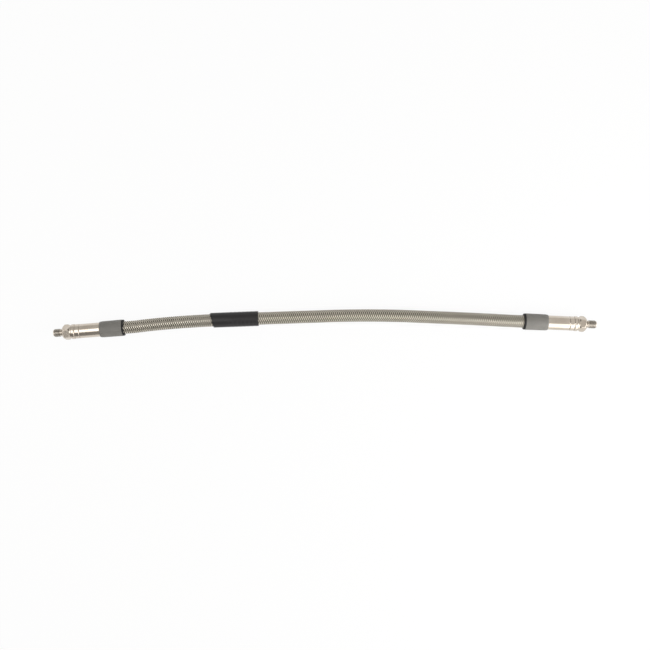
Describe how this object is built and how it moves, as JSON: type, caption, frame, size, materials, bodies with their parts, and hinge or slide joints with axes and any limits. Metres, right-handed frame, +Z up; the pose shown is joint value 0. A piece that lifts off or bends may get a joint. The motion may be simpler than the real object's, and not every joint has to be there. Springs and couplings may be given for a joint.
{
  "type": "brake hose",
  "caption": "Flexible steel-braided brake hose lying flat, with a crimped ferrule, grey sleeve and male threaded hexagon fitting at each end and a black band on the hose.",
  "frame": {"origin": "on the surface that the hose lies on, under the middle of its bounding box", "axes": "+X runs along the hose from the end near the black band to the other end, +Y is the side that the hose bows towards, +Z is up from the surface"},
  "size_m": [0.678, 0.0383, 0.0206],
  "materials": {
    "fitting_steel": "bright nickel-plated turned steel, slightly warm",
    "braid_steel": "woven fine stainless wire",
    "grey_plastic": "mid grey moulded plastic, satin",
    "black_rubber": "matt black rubber",
    "black_film": "black shrunk tubing, satin",
    "textile_cord": "plaited undyed textile cord"
  },
  "bodies": {
    "root": {"inner_tube": "black_rubber", "textile_ply": "textile_cord", "rubber_cover": "black_rubber", "steel_braid": "braid_steel", "black_band": "black_film", "left_end_fitting": "fitting_steel", "left_ferrule": "fitting_steel", "left_grey_sleeve": "grey_plastic", "left_rubber_bush": "black_rubber", "right_end_fitting": "fitting_steel", "right_ferrule": "fitting_steel", "right_grey_sleeve": "grey_plastic", "right_rubber_bush": "black_rubber"}
  },
  "joints": []
}
